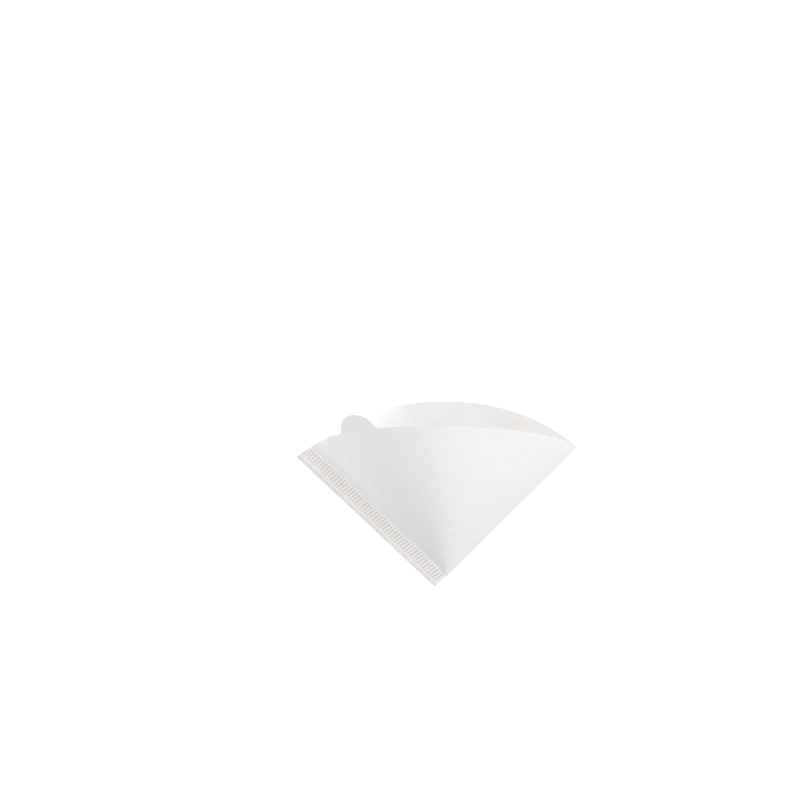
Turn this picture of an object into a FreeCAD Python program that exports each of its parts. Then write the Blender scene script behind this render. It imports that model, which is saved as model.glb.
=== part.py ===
import FreeCAD
import Part
import math
import os

# A cone paper filter for a dripper: one sheet, folded along its right edge and crimped along its
# left edge, lying on its back with the rim part open. All sizes are in millimetres and degrees.

# The flat panel, which is the same for the front and the back
side_length = 108.0
panel_angle = 90.0
rim_drop = 7.7
paper_thickness = 0.2

# The finger tab on the front panel's rim: an arc with a small fillet at each foot
tab_radius = 10.8
tab_reach = -0.3
tab_angle = 17.2
tab_fillet = 2.5

# The part-open cone. A height is in mm for each mm from the tip, and a softness of 1 leaves the
# crease flat while 0 leaves it at its steepest.
front_rise = 0.204
front_softness_at_seam = 1.0
front_softness_at_fold = 0.36
back_softness_at_seam = 0.52
back_softness_at_fold = 0.0
resting_half_width = 0.2

# The crimped seam and the plain margin outside it
crimp_width = 6.9
margin_at_tip = 2.1
margin_at_rim = 2.9
margin_gap = 0.3
end_cut_lean = 5.6
seam_lift = 2.0
ridge_pitch = 2.0
ridge_height = 0.3
ridge_inset = 0.3
ridge_taper = 0.4
ridge_lean = 7.5
strip_root = 0.2

# Where the two layers part near the tip, how far a shape runs past its cut, and how finely
# curves are followed
pocket_start = 1.5
body_start = 0.4
overcut = 1.0
panel_points = 11
arc_step = 3.0
fold_facets = 4
unroll_steps = 240

V = FreeCAD.Vector
ORIGIN = V(0, 0, 0)
UP = V(0, 0, 1)


def arch(s, softness):
    """Height of a panel's cross-section, from 1 at s = 0 down to 0 at the crease, s = 1."""
    wave = math.cos(math.pi * s / 2)
    return softness * wave * wave + (1 - softness) * wave


def front_height(x, half_width):
    softness = front_softness_at_seam if x < 0 else front_softness_at_fold
    return front_rise * arch(abs(x) / half_width, softness)


def back_height(x, half_width, drop):
    softness = back_softness_at_seam if x < 0 else back_softness_at_fold
    s = max(abs(x) - resting_half_width, 0) / (half_width - resting_half_width)
    return -drop * arch(s, softness)


def unroll(height, half_width):
    """Places across a panel, and the flat angle in degrees from the seam crease to each."""
    places = [half_width * (2 * i / unroll_steps - 1) for i in range(unroll_steps + 1)]
    lines = [V(x, 1, height(x)) for x in places]
    angles = [0.0]
    for before, after in zip(lines, lines[1:]):
        angles.append(angles[-1] + math.degrees(before.getAngle(after)))
    return places, angles


def solve(miss, low, high):
    """Bisection for the place where a rising function crosses zero."""
    for _ in range(50):
        middle = (low + high) / 2
        if miss(middle) < 0:
            low = middle
        else:
            high = middle
    return (low + high) / 2


# The half-width at which the bowed front panel keeps its flat angle, and the back panel's drop
# that gives it the same angle
flat_half_width = math.tan(math.radians(panel_angle / 2))
half_width = solve(
    lambda w: unroll(lambda x: front_height(x, w), w)[1][-1] - panel_angle,
    flat_half_width / 4,
    flat_half_width,
)
back_drop = solve(
    lambda d: unroll(lambda x: back_height(x, half_width, d), half_width)[1][-1] - panel_angle,
    0.0,
    2.0,
)


def front(x):
    return front_height(x, half_width)


def back(x):
    return back_height(x, half_width, back_drop)


def normal(height, x, side):
    """The panel's outward normal, for side 1 on the front and -1 on the back."""
    step = 1e-5
    slope = (height(x + step) - height(x - step)) / (2 * step)
    return (V(-slope, x * slope - height(x), 1) * side).normalize()


def at_section(direction, offset, y):
    """The point where a straight line of the cone, moved by an offset, meets the plane at y."""
    return direction * ((y - offset.y) / direction.y) + offset


def curve(points):
    """A smooth edge through points, evenly parametrised so that sections match each other."""
    spline = Part.BSplineCurve()
    spline.interpolate(Points=points, Parameters=[float(i) for i in range(len(points))])
    return spline.toShape()


def line(start, end):
    return Part.makeLine(start, end)


def spread(start, end, count):
    return [start + (end - start) * i / (count - 1) for i in range(count)]


# Directions in the plane of the two creases: along each crease, and outward from it
seam = V(-half_width, 1, 0).normalize()
fold = V(half_width, 1, 0).normalize()
seam_out = V(seam.x, seam.y, 0).cross(UP) * -1
fold_out = fold.cross(UP)

# The seam strip is tipped up just enough to keep its corner off the surface below the tip
strip_tilt = math.degrees(math.atan(back_drop * abs(seam_out.y))) + seam_lift
strip_out = seam_out * math.cos(math.radians(strip_tilt)) + UP * math.sin(math.radians(strip_tilt))
strip_up = UP * math.cos(math.radians(strip_tilt)) - seam_out * math.sin(math.radians(strip_tilt))


def mitre(first, second):
    """Where two outer faces meet beside the seam crease, both one paper thickness from it."""
    return (first + second) * (paper_thickness / (1 + first.dot(second)))


front_mitre = mitre(normal(front, -half_width, 1), strip_up)
back_mitre = mitre(normal(back, -half_width, -1), strip_up * -1)


def outer_section(y):
    """The edges round both panels' outer faces in the plane at y."""
    def panel_point(height, x, side):
        direction = V(x, 1, height(x)).normalize()
        return at_section(direction, normal(height, x, side) * paper_thickness, y)

    across = spread(-half_width, half_width, panel_points)
    top = [at_section(seam, front_mitre, y)]
    top += [panel_point(front, x, 1) for x in across[1:]]
    start = normal(front, half_width, 1)
    turn = math.degrees(start.getAngle(normal(back, half_width, -1)))
    round_fold = [
        at_section(fold, FreeCAD.Rotation(fold, angle).multVec(start) * paper_thickness, y)
        for angle in spread(0.0, turn, fold_facets + 1)
    ]
    round_fold[0] = top[-1]
    right = [
        panel_point(back, x, -1) for x in spread(half_width, resting_half_width, panel_points // 2)
    ]
    right[0] = round_fold[-1]
    left = [
        panel_point(back, x, -1) for x in spread(-resting_half_width, -half_width, panel_points // 2)
    ]
    left[-1] = at_section(seam, back_mitre, y)
    crease = at_section(seam, ORIGIN, y)
    return [
        curve(top),
        *[line(a, b) for a, b in zip(round_fold, round_fold[1:])],
        curve(right),
        line(right[-1], left[0]),
        curve(left),
        line(left[-1], crease),
        line(crease, top[0]),
    ]


def inner_section(y):
    """The edges round the pocket between the two panels in the plane at y."""
    def panel_points_along(height, start, end, count):
        return [V(x, 1, height(x)) * y for x in spread(start, end, count)]

    top = panel_points_along(front, -half_width, half_width, panel_points)
    right = panel_points_along(back, half_width, resting_half_width, panel_points // 2)
    left = panel_points_along(back, -resting_half_width, -half_width, panel_points // 2)
    right[0] = top[-1]
    left[-1] = top[0]
    return [curve(top), curve(right), line(right[-1], left[0]), curve(left)]


def ruled_solid(first, second):
    """The solid between two sections, with a straight-lined face from each edge to its partner."""
    faces = [Part.Face(Part.Wire(first)), Part.Face(Part.Wire(second))]
    for near, far in zip(first, second):
        if near.Curve.TypeId == "Part::GeomLine":
            ends = [vertex.Point for vertex in near.Vertexes + far.Vertexes[::-1]]
            faces.append(polygon(ends))
        else:
            faces.append(Part.makeRuledSurface(near, far))
    solid = Part.Solid(Part.Shell(faces))
    if solid.Volume < 0:
        solid.reverse()
    return solid


def strip_point(u, s, n):
    """A point of the seam strip: u outward from the crease, s from the tip, n above mid-plane."""
    return strip_out * u + seam * s + strip_up * n


def polygon(points):
    return Part.Face(Part.makePolygon(points + [points[0]]))


def ridge_lean_at(s):
    """The ridges lean by the full angle near the tip and stand square to the seam at the rim."""
    return ridge_lean * min(1.0, max(0.0, 2 * (1 - s / side_length)))


def ridge_lines(s_last):
    """The inner and outer end, as distances along the seam, of each line between two ridges."""
    count = 2 * int(s_last / ridge_pitch)
    width = crimp_width - ridge_inset
    lines = []
    for i in range(count + 1):
        s = (i + 1) * ridge_pitch / 2
        lines.append((s, s + width * math.tan(math.radians(ridge_lean_at(s)))))
    return lines


def crimped_face(lines, level):
    """One side of the crimp, at a level above or below mid-plane: hipped ridges and grooves."""
    u_in, u_out = ridge_inset, crimp_width
    faces = []
    for i, (low, high) in enumerate(zip(lines, lines[1:])):
        top = level + (ridge_height if i % 2 == 0 else -ridge_height)
        middle = [(a + b) / 2 for a, b in zip(low, high)]
        shift = (middle[1] - middle[0]) * ridge_taper / (u_out - u_in)
        inner = strip_point(u_in + ridge_taper, middle[0] + shift, top)
        outer = strip_point(u_out - ridge_taper, middle[1] - shift, top)
        low_in = strip_point(u_in, low[0], level)
        low_out = strip_point(u_out, low[1], level)
        high_in = strip_point(u_in, high[0], level)
        high_out = strip_point(u_out, high[1], level)
        for triangle in (
            [low_in, low_out, outer],
            [low_in, outer, inner],
            [high_in, inner, outer],
            [high_in, outer, high_out],
            [low_in, inner, high_in],
            [low_out, high_out, outer],
        ):
            faces.append(polygon(triangle))
    return faces


def strip_stub(s_first, s_last):
    """The root of the strip, which joins the two panels along the seam crease."""
    points = [
        (0.0, 0.0),
        (front_mitre.dot(strip_out), paper_thickness),
        (strip_root, paper_thickness),
        (strip_root, -paper_thickness),
        (back_mitre.dot(strip_out), -paper_thickness),
    ]
    end = polygon([strip_point(u, s_first, n) for u, n in points])
    return end.extrude(seam * (s_last - s_first))


def seam_strip(s_first, s_last):
    """The crimped double layer with its two margin lips, longer and wider than its final cut."""
    width = crimp_width + max(margin_at_tip, margin_at_rim) + overcut
    lines = ridge_lines(s_last - ridge_pitch)
    u_in, u_out = ridge_inset, crimp_width
    half_gap = margin_gap / 2
    slit = crimp_width + paper_thickness
    faces = []
    ends = {s_first: [], s_last: []}
    for side in (1, -1):
        level = side * paper_thickness
        faces += crimped_face(lines, level)
        inner_line = [strip_point(u_in, s, level) for s, _ in lines]
        outer_line = [strip_point(u_out, s, level) for _, s in lines]
        faces.append(polygon(
            [strip_point(strip_root, s_first, level), strip_point(strip_root, s_last, level)]
            + [strip_point(u_out, s_last, level)] + outer_line[::-1][:1]
            + inner_line[::-1] + outer_line[:1] + [strip_point(u_out, s_first, level)]
        ))
        faces.append(polygon(
            [strip_point(u_out, s_first, level)] + outer_line
            + [strip_point(u_out, s_last, level)]
            + [strip_point(width, s_last, level + side * half_gap)]
            + [strip_point(width, s_first, level + side * half_gap)]
        ))
        profile = [
            (strip_root, 0.0),
            (strip_root, level),
            (u_out, level),
            (width, level + side * half_gap),
            (width, side * half_gap),
            (slit, 0.0),
        ]
        for start, end in ((0, 1), (3, 4), (4, 5)):
            (u_a, n_a), (u_b, n_b) = profile[start], profile[end]
            faces.append(polygon([
                strip_point(u_a, s_first, n_a),
                strip_point(u_b, s_first, n_b),
                strip_point(u_b, s_last, n_b),
                strip_point(u_a, s_last, n_a),
            ]))
        for s in ends:
            ends[s].append([strip_point(u, s, n) for u, n in profile])
    for upper, lower in ends.values():
        faces.append(polygon(upper + lower[1:-1][::-1]))
    return Part.Solid(Part.Shell(faces))


# The rim is an arc in the flat panel, through both creases' ends and the middle of the panel.
# Flat places are polar: mm from the tip, and degrees from the seam crease.
rim_middle = side_length - rim_drop
half_chord = side_length * math.sin(math.radians(panel_angle / 2))
chord_height = side_length * math.cos(math.radians(panel_angle / 2))
rim_bow = rim_middle - chord_height
rim_radius = (half_chord ** 2 + rim_bow ** 2) / (2 * rim_bow)
axis_angle = math.radians(panel_angle / 2)
flat_axis = V(math.sin(axis_angle), math.cos(axis_angle), 0)
rim_centre = flat_axis * (rim_middle - rim_radius)
rim_lean = math.asin((rim_radius - rim_middle) * math.sin(axis_angle) / rim_radius)


def flat_direction(angle):
    return V(math.sin(math.radians(angle)), math.cos(math.radians(angle)), 0)


def rim_point(angle):
    """The flat rim point in the direction at an angle from the seam crease."""
    direction = flat_direction(angle)
    along = direction.dot(rim_centre)
    return direction * (along + math.sqrt(along ** 2 - rim_centre.dot(rim_centre) + rim_radius ** 2))


def meeting(centre_a, radius_a, centre_b, radius_b, side):
    """Where two circles cross, on one side of the line between their centres."""
    apart = centre_b - centre_a
    gap = apart.Length
    along = (gap ** 2 + radius_a ** 2 - radius_b ** 2) / (2 * gap)
    across = math.sqrt(radius_a ** 2 - along ** 2)
    forward = V(apart.x, apart.y, 0).normalize()
    return centre_a + forward * along + V(-forward.y, forward.x, 0) * (across * side)


def flat_arc(centre, start, end, clockwise):
    """Evenly spaced points along an arc about a centre, from start to end."""
    first = math.atan2(start.y - centre.y, start.x - centre.x)
    last = math.atan2(end.y - centre.y, end.x - centre.x)
    turn = (first - last) % (2 * math.pi) if clockwise else -((last - first) % (2 * math.pi))
    radius = (start - centre).Length
    count = max(5, int(abs(turn) * radius / arc_step) + 1)
    angles = [first - turn * i / count for i in range(count + 1)]
    return [centre + V(math.cos(a), math.sin(a), 0) * radius for a in angles]


def on_panel(height, flat_points):
    """Flat points carried onto the bowed panel, as seen square to the plane of the creases."""
    places, angles = unroll(height, half_width)
    found = []
    for point in flat_points:
        angle = math.degrees(math.atan2(point.x, point.y))
        i = 1
        while i < unroll_steps and angles[i] < angle:
            i += 1
        part = (angle - angles[i - 1]) / (angles[i] - angles[i - 1])
        x = places[i - 1] + (places[i] - places[i - 1]) * part
        direction = V(x, 1, height(x)).normalize()
        found.append(V(direction.x, direction.y, 0) * point.Length)
    return found


def front_rim():
    """The front rim's edges from the seam crease to the fold, with the tab and its fillets."""
    tab_centre = rim_point(tab_angle) + flat_direction(tab_angle) * tab_reach
    feet = {}
    for side in (1, -1):
        foot = meeting(
            rim_centre, rim_radius + tab_fillet, tab_centre, tab_radius + tab_fillet, side
        )
        on_rim = rim_centre + (foot - rim_centre) * (rim_radius / (rim_radius + tab_fillet))
        on_tab = tab_centre + (foot - tab_centre) * (tab_radius / (tab_radius + tab_fillet))
        feet[side] = (foot, on_rim, on_tab)
    seam_foot, seam_on_rim, seam_on_tab = feet[1]
    fold_foot, fold_on_rim, fold_on_tab = feet[-1]
    return [
        flat_arc(rim_centre, rim_point(0.0), seam_on_rim, True),
        flat_arc(seam_foot, seam_on_rim, seam_on_tab, False),
        flat_arc(tab_centre, seam_on_tab, fold_on_tab, True),
        flat_arc(fold_foot, fold_on_tab, fold_on_rim, False),
        flat_arc(rim_centre, fold_on_rim, rim_point(panel_angle), True),
    ]


def back_rim():
    return [flat_arc(rim_centre, rim_point(0.0), rim_point(panel_angle), True)]


def panel_prism(height, flat_rim, z):
    """What lies inside one panel's cut edges and the strip's, from the crease plane to z."""
    flatten = math.cos(math.radians(strip_tilt))
    width_tip = (crimp_width + margin_at_tip) * flatten
    width_rim = (crimp_width + margin_at_rim) * flatten
    beyond = crimp_width
    tip_slope = math.tan(math.radians(end_cut_lean))
    outside = (seam_out * -1 - seam * tip_slope) * beyond * 2
    tip_corner = seam_out * width_tip + seam * (width_tip * tip_slope)
    rim_corner = seam_out * width_rim + seam * (side_length + width_rim * math.tan(rim_lean))
    rim_edges = []
    for flat_points in flat_rim:
        points = on_panel(height, flat_points)
        if rim_edges:
            points[0] = last
        last = points[-1]
        rim_edges.append(curve(points))
    seam_end = seam * side_length
    rim_edges[0] = curve([seam_end] + on_panel(height, flat_rim[0])[1:])
    fold_corner = last + (fold_out + fold * math.tan(rim_lean)) * beyond
    edges = [line(outside, tip_corner), line(tip_corner, rim_corner), line(rim_corner, seam_end)]
    edges += rim_edges
    edges += [line(last, fold_corner), line(fold_corner, outside)]
    return Part.Face(Part.Wire(edges)).extrude(V(0, 0, z))


def tip_web():
    """The closed point of the fold, from the strip's root to where the panels begin."""
    half = paper_thickness * 0.6
    start = V(0, 0, -half)
    points = [
        start + seam_out * paper_thickness - seam * paper_thickness,
        start + seam_out * paper_thickness + seam * pocket_start,
        start + fold * pocket_start + fold_out * half,
        start - fold * paper_thickness + fold_out * half,
    ]
    return polygon(points).extrude(UP * half * 2)


def filter_paper():
    """The whole folded sheet, in the frame of its creases with the tip at the origin."""
    far = side_length + tab_radius + tab_reach + crimp_width
    strip_ends = (-crimp_width, side_length + 2 * crimp_width)
    body = ruled_solid(outer_section(body_start), outer_section(far))
    pocket = ruled_solid(inner_section(pocket_start), inner_section(far + overcut))
    panels = body.fuse([strip_stub(*strip_ends), tip_web()]).cut(pocket)
    depth = side_length
    kept = panel_prism(front, front_rim(), depth).fuse(panel_prism(back, back_rim(), -depth))
    return panels.common(kept).fuse(seam_strip(*strip_ends).common(kept))


def laid_down(sheet):
    """The sheet resting on the flat middle of its back, centred over the origin."""
    sheet.rotate(ORIGIN, V(1, 0, 0), math.degrees(math.atan(back_drop)))
    box = sheet.optimalBoundingBox()
    sheet.translate(V(-box.Center.x, -box.Center.y, paper_thickness))
    return sheet


os.makedirs("parts", exist_ok=True)
paper = laid_down(filter_paper()).Solids
print("solids", len(paper), "volume", round(sum(s.Volume for s in paper), 1))
Part.makeCompound(paper).exportStep("parts/filter_paper.step")
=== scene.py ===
import bmesh
import bpy
import math
from bisect import bisect_left
from mathutils import Matrix, Vector, noise


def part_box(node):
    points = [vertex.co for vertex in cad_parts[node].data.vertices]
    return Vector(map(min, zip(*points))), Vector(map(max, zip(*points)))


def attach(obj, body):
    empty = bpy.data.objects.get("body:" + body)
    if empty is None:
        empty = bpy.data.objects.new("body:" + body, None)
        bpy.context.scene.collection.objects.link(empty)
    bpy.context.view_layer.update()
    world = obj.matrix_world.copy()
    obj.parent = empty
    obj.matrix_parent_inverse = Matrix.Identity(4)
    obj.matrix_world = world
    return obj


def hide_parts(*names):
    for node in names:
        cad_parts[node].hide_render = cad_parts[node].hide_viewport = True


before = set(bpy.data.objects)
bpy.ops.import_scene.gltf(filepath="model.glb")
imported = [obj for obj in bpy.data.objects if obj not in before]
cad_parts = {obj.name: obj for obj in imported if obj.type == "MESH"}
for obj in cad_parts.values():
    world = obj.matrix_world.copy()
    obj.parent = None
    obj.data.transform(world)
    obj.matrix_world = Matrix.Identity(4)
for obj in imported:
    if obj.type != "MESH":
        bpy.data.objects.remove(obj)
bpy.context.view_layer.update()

# A cone paper filter for a dripper, lying on its back with the rim part open. It is built in
# millimetres in the frame of its two creases: tip at the origin, +X to the fold, +Y to the mouth
# and +Z up. The sizes below are in millimetres and degrees. The finished mesh, the floor, the
# lamps and the camera are in metres.
MM = 0.001

# The flat panel, which is the same for the front and the back
side_length = 108.0
panel_angle = 90.0
rim_drop = 7.7
paper_thickness = 0.2

# The finger tab on the front panel's rim
tab_radius = 10.8
tab_reach = -0.3
tab_angle = 17.2
tab_fillet = 2.5

# The part-open cone. Its rise and half-width are shares of the distance along +Y. A softness runs
# from 0, where a panel comes down to its crease at a slope, to 1, where it runs in flat.
front_rise = 0.204
front_softness_at_seam = 1.0
front_softness_at_fold = 0.36
back_softness_at_seam = 0.52
back_softness_at_fold = 0.0
resting_half_width = 0.2

# The crimped seam and the plain margin outside it
crimp_width = 6.9
margin_at_tip = 2.1
margin_at_rim = 2.9
margin_gap = 0.3
end_cut_lean = 5.6
seam_lift = 2.0
ridge_pitch = 2.0
ridge_height = 0.3
ridge_inset = 0.3
ridge_taper = 0.4
ridge_lean = 7.5
first_crest = 0.75 * ridge_pitch
strip_root = 0.2

# How uneven the paper is: the panels' swells, the margin's lips and the ridges' heights, with the
# lengths over which each of them varies
front_swell = 0.35
back_swell = 0.12
slow_swell_length = 34.0
quick_swell_length = 13.0
lip_swell = 0.22
lip_swell_length = 15.0
ridge_unevenness = 0.12
ridge_length_along = 3.0
ridge_length_across = 5.0

# How grey the crimp's pressing and painted shade make the paper, where its valleys have 1: the
# pressing greys the strip, and painted shade darkens the valleys between ridges, the strip and the
# panels beside the crease. Beyond the crease this fades out within the reach, and it builds up over
# a length from the tip.
crest_pressing_and_shade = 0.3
crease_pressing_and_shade = 0.4
margin_pressing_and_shade = 0.8
pressed_and_shaded_reach = 7.5
pressed_and_shaded_build_up = 30.0

# How far from the tip the sheet starts, its pocket opens, and the mesh's rows change from arcs
# about the tip to the outline of the rim
body_start = 0.4
pocket_start = 1.5
fan_start = 88.0

# How finely the mesh follows the sheet
unroll_steps = 240
fan_rows = 12
polar_rows = 44
rim_columns = 120
tab_columns = 36
fillet_columns = 6
fold_columns = 6
steps_per_ridge = 12
weld_distance = 0.0001

ORIGIN = Vector((0, 0, 0))
UP = Vector((0, 0, 1))


def arch(s, softness):
    """Height of a panel's cross-section, from 1 at s = 0 down to 0 at the crease, s = 1."""
    wave = math.cos(math.pi * s / 2)
    return softness * wave * wave + (1 - softness) * wave


def front_height(x, half_width):
    softness = front_softness_at_seam if x < 0 else front_softness_at_fold
    return front_rise * arch(abs(x) / half_width, softness)


def back_height(x, half_width, drop):
    softness = back_softness_at_seam if x < 0 else back_softness_at_fold
    s = max(abs(x) - resting_half_width, 0) / (half_width - resting_half_width)
    return -drop * arch(s, softness)


def unroll(height, half_width):
    """Places across a panel, and the flat angle in degrees from the seam crease to each."""
    places = [half_width * (2 * i / unroll_steps - 1) for i in range(unroll_steps + 1)]
    lines = [Vector((x, 1, height(x))) for x in places]
    angles = [0.0]
    for before, after in zip(lines, lines[1:]):
        angles.append(angles[-1] + math.degrees(before.angle(after)))
    return places, angles


def solve(miss, low, high):
    """Bisection for the place where a rising function crosses zero."""
    halvings = 50
    for _ in range(halvings):
        middle = (low + high) / 2
        if miss(middle) < 0:
            low = middle
        else:
            high = middle
    return (low + high) / 2


# The half-width at which the bowed front panel keeps its flat angle, and the back panel's drop
# that gives it the same angle
flat_half_width = math.tan(math.radians(panel_angle / 2))
half_width = solve(
    lambda w: unroll(lambda x: front_height(x, w), w)[1][-1] - panel_angle,
    flat_half_width / 4,
    flat_half_width,
)
back_drop = solve(
    lambda d: unroll(lambda x: back_height(x, half_width, d), half_width)[1][-1] - panel_angle,
    0.0,
    2.0,
)
resting_pitch = math.atan(back_drop)


def front(x):
    return front_height(x, half_width)


def back(x):
    return back_height(x, half_width, back_drop)


# Directions in the plane of the two creases, and those of the seam strip
seam = Vector((-half_width, 1, 0)).normalized()
fold = Vector((half_width, 1, 0)).normalized()
seam_out = UP.cross(seam)
strip_tilt = math.atan(back_drop * abs(seam_out.y)) + math.radians(seam_lift)
strip_out = seam_out * math.cos(strip_tilt) + UP * math.sin(strip_tilt)
strip_up = UP * math.cos(strip_tilt) - seam_out * math.sin(strip_tilt)


def up_normal(height, x):
    """The panel's normal on its upper side."""
    step = 1e-5
    slope = (height(x + step) - height(x - step)) / (2 * step)
    return Vector((-slope, x * slope - height(x), 1)).normalized()


def mitre(first, second):
    """Where two outer faces meet beside the seam crease, both one paper thickness from it."""
    return (first + second) * (paper_thickness / (1 + first.dot(second)))


front_mitre = mitre(up_normal(front, -half_width), strip_up)
back_mitre = mitre(-up_normal(back, -half_width), -strip_up)

# The rim is an arc in the flat panel, through both creases' ends and the middle of the panel
rim_middle = side_length - rim_drop
half_chord = side_length * math.sin(math.radians(panel_angle / 2))
chord_height = side_length * math.cos(math.radians(panel_angle / 2))
rim_bow = rim_middle - chord_height
rim_radius = (half_chord ** 2 + rim_bow ** 2) / (2 * rim_bow)


def flat_direction(angle):
    return Vector((math.sin(math.radians(angle)), math.cos(math.radians(angle))))


def flat_angle(point):
    return math.degrees(math.atan2(point.x, point.y))


rim_centre = flat_direction(panel_angle / 2) * (rim_middle - rim_radius)
rim_lean = math.asin(
    (rim_radius - rim_middle) * math.sin(math.radians(panel_angle / 2)) / rim_radius
)


def rim_point(angle):
    """The flat rim point in the direction at an angle from the seam crease."""
    direction = flat_direction(angle)
    along = direction.dot(rim_centre)
    reach = math.sqrt(along ** 2 - rim_centre.length_squared + rim_radius ** 2)
    return direction * (along + reach)


def meeting(centre_a, radius_a, centre_b, radius_b, side):
    """Where two circles cross, on one side of the line between their centres."""
    apart = centre_b - centre_a
    along = (apart.length_squared + radius_a ** 2 - radius_b ** 2) / (2 * apart.length)
    across = math.sqrt(radius_a ** 2 - along ** 2)
    forward = apart.normalized()
    return centre_a + forward * along + Vector((-forward.y, forward.x)) * (across * side)


def flat_arc(centre, start, end, clockwise, count):
    """Points along an arc about a centre, from start to just before end."""
    first = math.atan2(start.y - centre.y, start.x - centre.x)
    last = math.atan2(end.y - centre.y, end.x - centre.x)
    turn = (first - last) % math.tau if clockwise else -((last - first) % math.tau)
    radius = (start - centre).length
    angles = [first - turn * i / count for i in range(count)]
    return [centre + Vector((math.cos(a), math.sin(a))) * radius for a in angles]


def tab_feet():
    """The tab's centre, and for each foot the fillet's centre and its two touching points."""
    centre = rim_point(tab_angle) + flat_direction(tab_angle) * tab_reach
    feet = []
    for side in (1, -1):
        foot = meeting(rim_centre, rim_radius + tab_fillet, centre, tab_radius + tab_fillet, side)
        on_rim = rim_centre + (foot - rim_centre) * (rim_radius / (rim_radius + tab_fillet))
        on_tab = centre + (foot - centre) * (tab_radius / (tab_radius + tab_fillet))
        feet.append((foot, on_rim, on_tab))
    return centre, *feet


def front_columns():
    """For each column of the front panel, the angle of its polar part and its rim point."""
    centre, (foot_a, rim_a, tab_a), (foot_b, rim_b, tab_b) = tab_feet()
    angle_a, angle_b = flat_angle(rim_a), flat_angle(rim_b)
    before = round(rim_columns * angle_a / panel_angle)
    after = rim_columns - before - round(rim_columns * (angle_b - angle_a) / panel_angle)
    columns = [(angle_a * i / before, rim_point(angle_a * i / before)) for i in range(before)]
    outline = flat_arc(foot_a, rim_a, tab_a, False, fillet_columns)
    outline += flat_arc(centre, tab_a, tab_b, True, tab_columns)
    outline += flat_arc(foot_b, tab_b, rim_b, False, fillet_columns)
    for i, point in enumerate(outline):
        columns.append((angle_a + (angle_b - angle_a) * i / len(outline), point))
    for i in range(after + 1):
        angle = angle_b + (panel_angle - angle_b) * i / after
        columns.append((angle, rim_point(angle)))
    return columns


def back_columns(count):
    angles = [panel_angle * i / (count - 1) for i in range(count)]
    return [(angle, rim_point(angle)) for angle in angles]


def flat_rows(columns, start):
    """Rows of flat points, from an arc near the tip to the rim."""
    reach = [start + (fan_start - start) * i / polar_rows for i in range(polar_rows)]
    rows = [[flat_direction(angle) * r for angle, _ in columns] for r in reach]
    for i in range(fan_rows + 1):
        part = i / fan_rows
        rows.append([
            (flat_direction(angle) * fan_start).lerp(rim, part) for angle, rim in columns
        ])
    return rows


def smooth_step(x):
    x = min(1.0, max(0.0, x))
    return x * x * (3 - 2 * x)


def flat_noise(point, length, seed):
    """A smooth noise over the flat sheet, from about -1 to 1, that varies over a length."""
    return noise.noise(Vector((point.x / length, point.y / length, seed)))


def swell(point, size, seed):
    """How far the paper stands off its even shape, by swells that die out at creases and tip."""
    fade_angle = panel_angle / 6
    quick_share = 0.18
    quick_seed = seed + 7
    from_crease = min(flat_angle(point), panel_angle - flat_angle(point)) / fade_angle
    from_tip = point.length / side_length * 2
    slow = flat_noise(point, slow_swell_length, seed)
    quick = flat_noise(point, quick_swell_length, quick_seed)
    fade = smooth_step(from_crease) * smooth_step(from_tip)
    return size * fade * (0.5 + 0.5 * slow + quick_share * quick)


class Panel:
    """One bowed panel, which carries flat points to their places in the opened cone."""

    def __init__(self, height, swell_size, seed):
        self.height = height
        self.swell_size = swell_size
        self.seed = seed
        self.places, self.angles = unroll(height, half_width)

    def place(self, point, offset):
        """Where a flat point goes, on a layer at an offset above the panel's inner side."""
        angle = flat_angle(point)
        i = min(max(1, bisect_left(self.angles, angle)), unroll_steps)
        part = (angle - self.angles[i - 1]) / (self.angles[i] - self.angles[i - 1])
        x = self.places[i - 1] + (self.places[i] - self.places[i - 1]) * part
        line = Vector((x, 1, self.height(x))).normalized()
        rise = offset + swell(point, self.swell_size, self.seed)
        return line * point.length + up_normal(self.height, x) * rise

    def skin(self, rows, offset, beside_seam):
        """A grid of points for one side of the panel, exact along the seam and the fold."""
        beside_fold = up_normal(self.height, half_width) * offset
        grid = [[self.place(point, offset) for point in row] for row in rows]
        for placed, row in zip(grid, rows):
            placed[0] = seam * row[0].length + beside_seam
            placed[-1] = fold * row[-1].length + beside_fold
        return grid


def ridge_lean_at(s):
    """The full lean up to half the side's length, and from there less and less, to 0 at the rim."""
    return math.radians(ridge_lean) * min(1.0, max(0.0, 2 * (1 - s / side_length)))


def crimp_at(u, s):
    """The crimp at a place on the strip: its wave from -1 to 1, and how fully it is formed."""
    ridge_seed = 3
    start = s - (u - ridge_inset) * math.tan(ridge_lean_at(s))
    wave = math.cos(math.tau * (start - first_crest) / ridge_pitch)
    formed = smooth_step((u - ridge_inset) / ridge_taper)
    formed *= smooth_step((crimp_width - u) / ridge_taper)
    formed *= smooth_step((start - ridge_pitch / 2) * 2 / ridge_pitch)
    place = Vector((start / ridge_length_along, u / ridge_length_across, ridge_seed))
    formed *= 1 + ridge_unevenness * noise.noise(place)
    return wave, formed


def ridge(u, s):
    """How far the crimp's wave lifts both layers of the strip."""
    wave, formed = crimp_at(u, s)
    return ridge_height * formed * wave


def strip_point(u, s, n):
    """A point of the seam strip: u outward from the crease, s from the tip, n above mid-plane."""
    return strip_out * u + seam * s + strip_up * n


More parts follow.
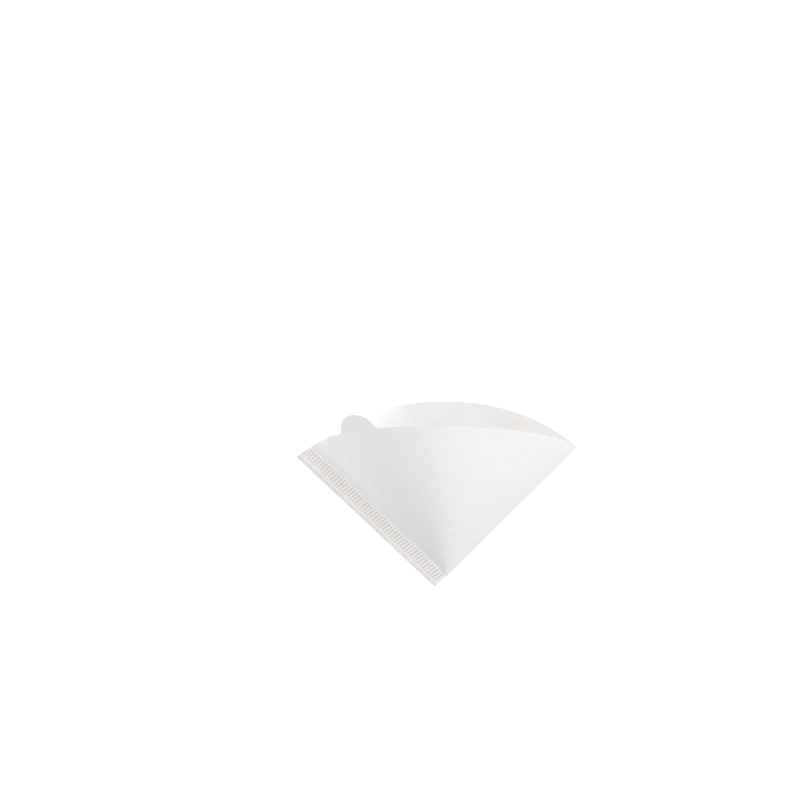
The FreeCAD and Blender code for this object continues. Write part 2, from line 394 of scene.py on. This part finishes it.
def strip_loops():
    """Outlines across the seam strip, one for each step along it, open at the crease.

    Each comes with how grey the crimp's pressing and painted shade make each of its points, from 0
    to 1, with the painted shade darkest in the valleys between ridges.
    """
    crimp_rows = 14
    margin_rows = 4
    lip_seed = 11
    lip_seed_step = 4
    end_blend = 8.0
    slit = crimp_width + paper_thickness
    half_gap = margin_gap / 2
    widest = crimp_width + max(margin_at_tip, margin_at_rim)
    crimp = [
        strip_root + (crimp_width - strip_root) * (0.5 - 0.5 * math.cos(math.pi * i / crimp_rows))
        for i in range(crimp_rows + 1)
    ]
    count = round(side_length / ridge_pitch * steps_per_ridge)
    loops, pressed_and_shaded = [], []
    for i in range(count + 1):
        start = side_length * i / count
        blend = smooth_step((start - side_length + end_blend) / end_blend)
        lean = (1 - blend) * ridge_lean_at(start) + blend * rim_lean
        lean += smooth_step(1 - start / end_blend) * math.radians(end_cut_lean - ridge_lean)
        margin = margin_at_tip + (margin_at_rim - margin_at_tip) * start / side_length
        edge = crimp_width + margin

        def at(u, n):
            return strip_point(u, start + u * math.tan(lean), n)

        def crimped(u, n):
            return at(u, n + ridge(u, start + u * math.tan(lean)))

        # Grey from the crimp's pressing, with painted shade darkest in the valleys between the
        # ridges
        def pressing_and_shade(u, side):
            wave, formed = crimp_at(u, start + u * math.tan(lean))
            valley = formed * (0.5 - 0.5 * side * wave)
            return crest_pressing_and_shade + (1 - crest_pressing_and_shade) * valley

        def lip(side, part, layer):
            """A lip's place, from the crimp to the cut edge, on its outer or inner side."""
            u = slit + (edge - slit) * part
            open_by = half_gap * (u - slit) / (widest - slit)
            place = Vector((start / lip_swell_length, side * lip_seed_step, lip_seed))
            wander = lip_swell * part * part * (0.5 + noise.noise(place))
            return at(u, side * (layer + open_by + wander))

        parts = [j / margin_rows for j in range(margin_rows + 1)]
        loop = [crimped(u, paper_thickness) for u in crimp]
        loop += [lip(1, part, paper_thickness) for part in parts]
        loop += [lip(1, part, 0.0) for part in reversed(parts[1:])]
        loop += [at(slit, 0.0)]
        loop += [lip(-1, part, 0.0) for part in parts[1:]]
        loop += [lip(-1, part, paper_thickness) for part in reversed(parts)]
        loop += [crimped(u, -paper_thickness) for u in reversed(crimp)]
        loops.append(loop)
        above = [pressing_and_shade(u, 1) for u in crimp]
        below = [pressing_and_shade(u, -1) for u in reversed(crimp)]
        margin_side = [crest_pressing_and_shade] + [margin_pressing_and_shade] * margin_rows
        inside = [margin_pressing_and_shade] * (2 * margin_rows + 1)
        pressed_and_shaded.append(above + margin_side + inside + margin_side[::-1] + below)
    return loops, pressed_and_shaded


def add_grid(mesh, grid):
    """Quads over a grid of points. Returns its vertices as rows."""
    rows = [[mesh.verts.new(point) for point in row] for row in grid]
    for low, high in zip(rows, rows[1:]):
        for a, b, c, d in zip(low, low[1:], high[1:], high):
            mesh.faces.new((a, b, c, d))
    return rows


def add_band(mesh, first, second):
    """Quads between two chains with as many vertices."""
    for a, b, c, d in zip(first, first[1:], second[1:], second):
        mesh.faces.new((a, b, c, d))


def add_zip(mesh, first, second):
    """Triangles between two chains that run side by side from the tip to the rim."""
    i = j = 0
    while i < len(first) - 1 or j < len(second) - 1:
        if j == len(second) - 1:
            step_first = True
        elif i == len(first) - 1:
            step_first = False
        else:
            step_first = first[i + 1].co.dot(seam) < second[j + 1].co.dot(seam)
        if step_first:
            mesh.faces.new((first[i], first[i + 1], second[j]))
            i += 1
        else:
            mesh.faces.new((first[i], second[j + 1], second[j]))
            j += 1


def column(rows, i):
    return [row[i] for row in rows]


def press_and_shade_beside_crease(rows, pressed_and_shaded_layer):
    """Greys a panel's outer side beside the crease, by the crimp's pressing near it and by painted
    shade further out.
    """
    for vertex in [vertex for row in rows for vertex in row]:
        along = vertex.co.dot(seam)
        from_crease = (vertex.co - seam * along).length
        # Painted shade beside the crease, fading out within the reach and building up from the tip
        faded = smooth_step(1 - from_crease / pressed_and_shaded_reach) * smooth_step(along / pressed_and_shaded_build_up)
        vertex[pressed_and_shaded_layer] = crease_pressing_and_shade * faded


def add_round_fold(mesh, top_edge, bottom_edge):
    """The round outside of the fold, between the two outer skins. Returns its rows."""
    start = up_normal(front, half_width)
    end = -up_normal(back, half_width)
    turned = [
        start.slerp(end, i / fold_columns) * paper_thickness for i in range(1, fold_columns)
    ]
    rows = []
    for above, below in zip(top_edge, bottom_edge):
        on_fold = fold * above.co.dot(fold)
        between = [mesh.verts.new(on_fold + offset) for offset in turned]
        rows.append([above, *between, below])
    for low, high in zip(rows, rows[1:]):
        add_band(mesh, low, high)
    return rows


def add_strip(mesh, pressed_and_shaded_layer):
    """The crimped seam strip, with its greying by pressing and painted shade. Returns its vertices
    as rows.
    """
    loops, pressed_and_shaded = strip_loops()
    strip = add_grid(mesh, loops)
    for vertices, values in zip(strip, pressed_and_shaded):
        for vertex, value in zip(vertices, values):
            vertex[pressed_and_shaded_layer] = value
    return strip


def build_sheet():
    """The whole folded sheet as one closed mesh, in millimetres in the creases' frame."""
    mesh = bmesh.new()
    pressed_and_shaded_layer = mesh.verts.layers.float.new("pressed_and_shaded")
    top = Panel(front, front_swell, 1)
    bottom = Panel(back, back_swell, 5)
    top_columns = front_columns()
    bottom_columns = back_columns(len(top_columns))
    outer_top = add_grid(
        mesh, top.skin(flat_rows(top_columns, body_start), paper_thickness, front_mitre)
    )
    inner_top = add_grid(mesh, top.skin(flat_rows(top_columns, pocket_start), 0.0, ORIGIN))
    outer_bottom = add_grid(
        mesh, bottom.skin(flat_rows(bottom_columns, body_start), -paper_thickness, back_mitre)
    )
    inner_bottom = add_grid(mesh, bottom.skin(flat_rows(bottom_columns, pocket_start), 0.0, ORIGIN))

    # The cut edges at the rim, the pocket's closed tip and the sheet's own tip
    add_band(mesh, outer_top[-1], inner_top[-1])
    add_band(mesh, outer_bottom[-1], inner_bottom[-1])
    add_band(mesh, inner_top[0], inner_bottom[0])
    add_band(mesh, outer_top[0], outer_bottom[0])

    # The fold and its two ends
    round_fold = add_round_fold(mesh, column(outer_top, -1), column(outer_bottom, -1))
    mesh.faces.new(round_fold[0])
    mesh.faces.new([inner_top[-1][-1], *round_fold[-1]])

    # The seam strip, its joints to both panels, and its two ends
    strip = add_strip(mesh, pressed_and_shaded_layer)
    press_and_shade_beside_crease(outer_top, pressed_and_shaded_layer)
    press_and_shade_beside_crease(outer_bottom, pressed_and_shaded_layer)
    add_zip(mesh, column(outer_top, 0), column(strip, 0))
    add_zip(mesh, column(outer_bottom, 0), column(strip, -1))
    mesh.faces.new([outer_top[0][0], *strip[0], outer_bottom[0][0]])
    mesh.faces.new([inner_top[-1][0], outer_top[-1][0], *strip[-1], outer_bottom[-1][0]])

    bmesh.ops.remove_doubles(mesh, verts=mesh.verts, dist=weld_distance)
    bmesh.ops.triangulate(mesh, faces=[face for face in mesh.faces if len(face.verts) > 4])
    bmesh.ops.recalc_face_normals(mesh, faces=mesh.faces)
    return mesh


def lay_down(mesh):
    """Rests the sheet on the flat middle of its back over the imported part. Returns the tip."""
    bmesh.ops.rotate(
        mesh, cent=ORIGIN, matrix=Matrix.Rotation(resting_pitch, 3, "X"), verts=mesh.verts
    )
    bmesh.ops.scale(mesh, vec=(MM, MM, MM), verts=mesh.verts)
    low = Vector([min(vertex.co[i] for vertex in mesh.verts) for i in range(3)])
    high = Vector([max(vertex.co[i] for vertex in mesh.verts) for i in range(3)])
    node_low, node_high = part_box("filter_paper")
    tip = (Vector(node_low) + Vector(node_high) - low - high) / 2
    tip.z = paper_thickness * MM
    bmesh.ops.translate(mesh, vec=tip, verts=mesh.verts)
    return tip


def paper_material():
    """White filter paper: cloudy formation, fine fibres and a faint crepe, with no gloss."""
    material = bpy.data.materials.new("filter_paper_white")
    material.use_nodes = True
    nodes, links = material.node_tree.nodes, material.node_tree.links
    shader = nodes["Principled BSDF"]
    shader.inputs["Roughness"].default_value = 0.92
    shader.inputs["Specular IOR Level"].default_value = 0.25
    shader.inputs["Subsurface Weight"].default_value = 0.7
    shader.inputs["Subsurface Radius"].default_value = (1.0, 1.0, 1.0)
    shader.inputs["Subsurface Scale"].default_value = 0.3 * MM
    place = nodes.new("ShaderNodeTexCoord")

    def noise_at(feature, detail, stretch=(1, 1, 1), turn=0.0):
        """A noise whose features are so many metres across, stretched along an axis."""
        mapping = nodes.new("ShaderNodeMapping")
        mapping.inputs["Scale"].default_value = stretch
        mapping.inputs["Rotation"].default_value = (0, 0, turn)
        texture = nodes.new("ShaderNodeTexNoise")
        texture.inputs["Scale"].default_value = 1 / feature
        texture.inputs["Detail"].default_value = detail
        links.new(place.outputs["Object"], mapping.inputs["Vector"])
        links.new(mapping.outputs["Vector"], texture.inputs["Vector"])
        return texture.outputs["Fac"]

    def mixed(first, second, share):
        mix = nodes.new("ShaderNodeMix")
        mix.inputs["Factor"].default_value = share
        links.new(first, mix.inputs["A"])
        links.new(second, mix.inputs["B"])
        return mix.outputs["Result"]

    thin_paper = (0.918, 0.896, 0.884, 1)
    thick_paper = (0.95, 0.931, 0.921, 1)
    # The grey of pressed paper, also used as painted shade in the crimp's valleys, over the strip
    # and beside the crease
    pressed_and_shaded_paper = (0.645, 0.634, 0.622, 1)
    clouds = noise_at(feature=7 * MM, detail=4)
    flecks = noise_at(feature=0.9 * MM, detail=3)
    ramp = nodes.new("ShaderNodeValToRGB")
    ramp.color_ramp.elements[0].position = 0.3
    ramp.color_ramp.elements[0].color = thin_paper
    ramp.color_ramp.elements[1].position = 0.7
    ramp.color_ramp.elements[1].color = thick_paper
    links.new(mixed(clouds, flecks, share=0.35), ramp.inputs["Fac"])
    # Greyed towards the pressed paper's colour by the crimp's pressing and by painted shade in the
    # valleys and beside the crease
    pressed_and_shaded = nodes.new("ShaderNodeAttribute")
    pressed_and_shaded.attribute_name = "pressed_and_shaded"
    greyed_by_pressing_and_shade = nodes.new("ShaderNodeMixRGB")
    greyed_by_pressing_and_shade.inputs["Color2"].default_value = pressed_and_shaded_paper
    links.new(pressed_and_shaded.outputs["Fac"], greyed_by_pressing_and_shade.inputs["Fac"])
    links.new(ramp.outputs["Color"], greyed_by_pressing_and_shade.inputs["Color1"])
    links.new(greyed_by_pressing_and_shade.outputs["Color"], shader.inputs["Base Color"])

    fibre_width = 0.5 * MM
    fibre_stretch = 0.22
    fibres = mixed(
        noise_at(fibre_width, detail=5, stretch=(1, fibre_stretch, 1), turn=math.radians(35)),
        noise_at(fibre_width, detail=5, stretch=(fibre_stretch, 1, 1), turn=math.radians(20)),
        share=0.5,
    )
    crepe = noise_at(feature=1.6 * MM, detail=2, stretch=(0.35, 1, 1), turn=math.radians(-8))
    bump = nodes.new("ShaderNodeBump")
    bump.inputs["Strength"].default_value = 0.5
    bump.inputs["Distance"].default_value = 0.12 * MM
    links.new(mixed(fibres, crepe, share=0.35), bump.inputs["Height"])
    links.new(bump.outputs["Normal"], shader.inputs["Normal"])
    return material


def white_to_camera(nodes, links):
    """A factor that is 1 for what the camera sees, directly, in a reflection or through glass."""
    path = nodes.new("ShaderNodeLightPath")
    seen = path.outputs["Is Camera Ray"]
    for name in ("Is Glossy Ray", "Is Transmission Ray"):
        either = nodes.new("ShaderNodeMath")
        either.operation = "MAXIMUM"
        links.new(seen, either.inputs[0])
        links.new(path.outputs[name], either.inputs[1])
        seen = either.outputs[0]
    return seen


def floor_material():
    """A white floor, lifted to plain white where it is lit, which keeps the object's shadow."""
    material = bpy.data.materials.new("studio_floor")
    material.use_nodes = True
    nodes, links = material.node_tree.nodes, material.node_tree.links
    shader = nodes["Principled BSDF"]
    floor_grey = 0.82
    lift_to_white = 0.62
    shader.inputs["Base Color"].default_value = (floor_grey, floor_grey, floor_grey, 1)
    shader.inputs["Roughness"].default_value = 1.0
    shader.inputs["Specular IOR Level"].default_value = 0.0
    shader.inputs["Emission Color"].default_value = (1, 1, 1, 1)
    lift = nodes.new("ShaderNodeMath")
    lift.operation = "MULTIPLY"
    lift.inputs[1].default_value = lift_to_white
    links.new(white_to_camera(nodes, links), lift.inputs[0])
    links.new(lift.outputs[0], shader.inputs["Emission Strength"])
    return material


def make_floor():
    """A wide floor just below the sheet."""
    half_side = 3.0
    level = -0.1 * MM
    mesh = bpy.data.meshes.new("floor")
    corners = [
        (-half_side, -half_side, level),
        (half_side, -half_side, level),
        (half_side, half_side, level),
        (-half_side, half_side, level),
    ]
    mesh.from_pydata(corners, [], [(0, 1, 2, 3)])
    mesh.materials.append(floor_material())
    floor = bpy.data.objects.new("floor", mesh)
    bpy.context.collection.objects.link(floor)


def make_sheet():
    """The piece that stands for the part's one solid. Returns the place of its tip."""
    built = build_sheet()
    tip = lay_down(built)
    mesh = bpy.data.meshes.new("filter_sheet")
    built.to_mesh(mesh)
    built.free()
    sharp_angle = math.radians(40)
    mesh.shade_smooth()
    mesh.set_sharp_from_angle(angle=sharp_angle)
    mesh.materials.append(paper_material())
    sheet = bpy.data.objects.new("filter_sheet", mesh)
    bpy.context.collection.objects.link(sheet)
    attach(sheet, "root")
    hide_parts("filter_paper")
    return tip


def add_lamp(name, place, power, size):
    """A square soft lamp that shines at the filter."""
    lamp = bpy.data.lights.new(name, "AREA")
    lamp.energy = power
    lamp.size = size
    holder = bpy.data.objects.new(name, lamp)
    holder.location = place
    holder.rotation_euler = place.to_track_quat("Z", "Y").to_euler()
    bpy.context.collection.objects.link(holder)


def make_lights():
    """A soft lamp before the mouth, a weaker one on each side, and a pale surround."""
    add_lamp("fold_side_lamp", place=Vector((2.0, 0.4, 1.45)), power=15.0, size=1.0)
    add_lamp("mouth_lamp", place=Vector((1.7, 1.9, 1.6)), power=53.0, size=1.2)
    add_lamp("seam_side_lamp", place=Vector((-1.8, -0.8, 1.5)), power=16.5, size=1.6)
    surround_strength = 0.455
    world = bpy.data.worlds.new("studio")
    world.use_nodes = True
    bpy.context.scene.world = world
    nodes, links = world.node_tree.nodes, world.node_tree.links
    background = nodes["Background"]
    background.inputs["Color"].default_value = (1, 1, 1, 1)
    strength = nodes.new("ShaderNodeMix")
    strength.inputs["A"].default_value = surround_strength
    strength.inputs["B"].default_value = 1.0
    links.new(white_to_camera(nodes, links), strength.inputs["Factor"])
    links.new(strength.outputs["Result"], background.inputs["Strength"])


def make_camera(tip):
    """A long lens that sees the filter as the photograph does, by its tip and its seam's length."""
    photo_side = 800
    tip_across = 447.2
    tip_down = 577.4
    seam_pixels = 193.44
    tilt = Matrix.Rotation(math.radians(21.18), 3, "X")
    sway = Matrix.Rotation(math.radians(-3.64), 3, "Y")
    roll = Matrix.Rotation(math.radians(1.41), 3, "Z")
    middle_depth = 28 * MM
    seen = roll @ tilt @ sway
    turned = Matrix.Rotation(resting_pitch, 3, "X") @ seen.transposed()
    right, up, backward = turned.col
    pixel = side_length * MM / seam_pixels
    data = bpy.data.cameras.new("camera")
    data.lens = 400
    data.clip_end = 30
    distance = photo_side * pixel * data.lens / data.sensor_width
    aim = tip + right * (photo_side / 2 - tip_across) * pixel
    aim += up * (tip_down - photo_side / 2) * pixel
    place = aim + backward * (distance + middle_depth)
    camera = bpy.data.objects.new("camera", data)
    camera.matrix_world = Matrix.Translation(place) @ turned.to_4x4()
    bpy.context.collection.objects.link(camera)
    bpy.context.scene.camera = camera


tip_place = make_sheet()
make_floor()
make_lights()
make_camera(tip_place)
bpy.context.scene.view_settings.view_transform = "Standard"
